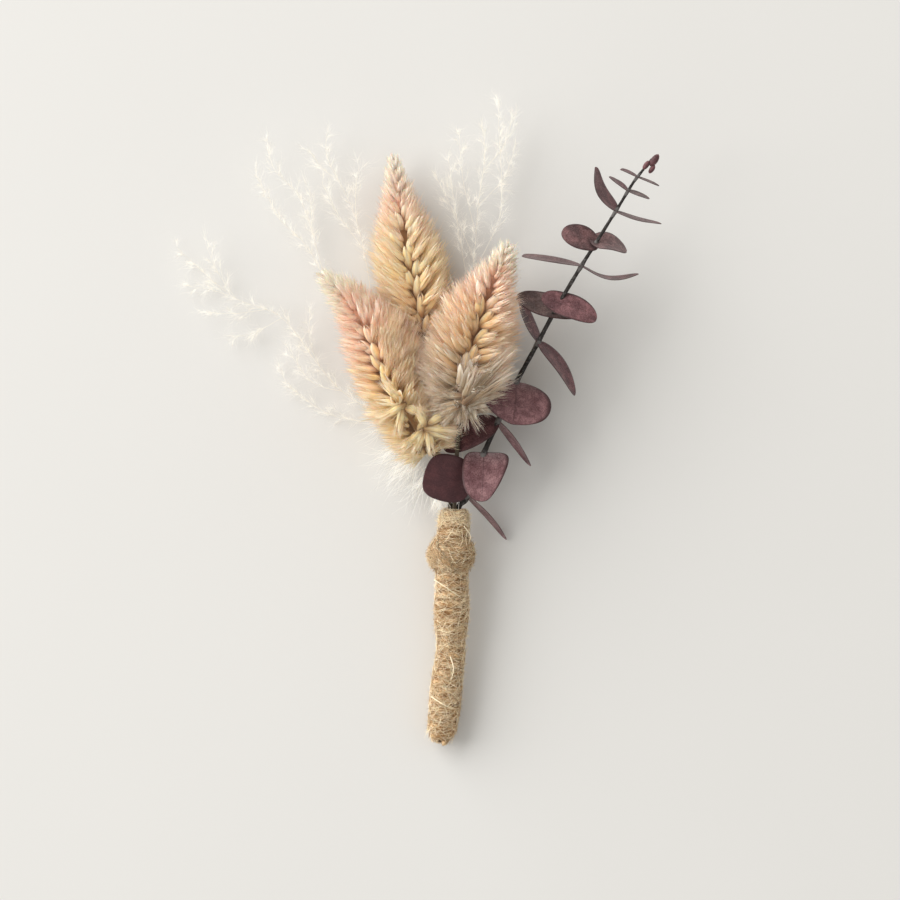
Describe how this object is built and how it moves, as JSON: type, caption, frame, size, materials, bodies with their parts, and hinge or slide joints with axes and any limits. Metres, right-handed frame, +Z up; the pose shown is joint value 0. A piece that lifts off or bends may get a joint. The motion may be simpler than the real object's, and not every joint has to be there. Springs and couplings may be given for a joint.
{
  "type": "dried bouquet",
  "caption": "Small dried bouquet lying flat: feathery celosia spikes, a eucalyptus sprig and pale pampas plumes in a handle wound with jute twine.",
  "frame": {"origin": "on the table under the middle of the whole bouquet", "axes": "+Y from the handle to the flowers, +X to the right as seen from above, +Z up from the table"},
  "size_m": [0.1215, 0.1615, 0.0303],
  "materials": {
    "celosia": "papery, faded straw to pink",
    "celosia_stem": "dark, dry",
    "eucalyptus": "burgundy, waxy",
    "pale_grass": "bleached, airy",
    "jute": "coarse twisted twine"
  },
  "bodies": {
    "root": {"celosia_head_left": "celosia", "celosia_head_middle": "celosia", "celosia_head_right": "celosia", "celosia_stem_left": "celosia_stem", "celosia_stem_middle": "celosia_stem", "celosia_stem_right": "celosia_stem", "eucalyptus_sprig": "eucalyptus", "pampas_plume_left": "pale_grass", "pampas_plume_upper_left": "pale_grass", "pampas_plume_top_left": "pale_grass", "pampas_plume_top_right": "pale_grass", "jute_wrap": "jute", "jute_tie": "jute"}
  },
  "joints": []
}
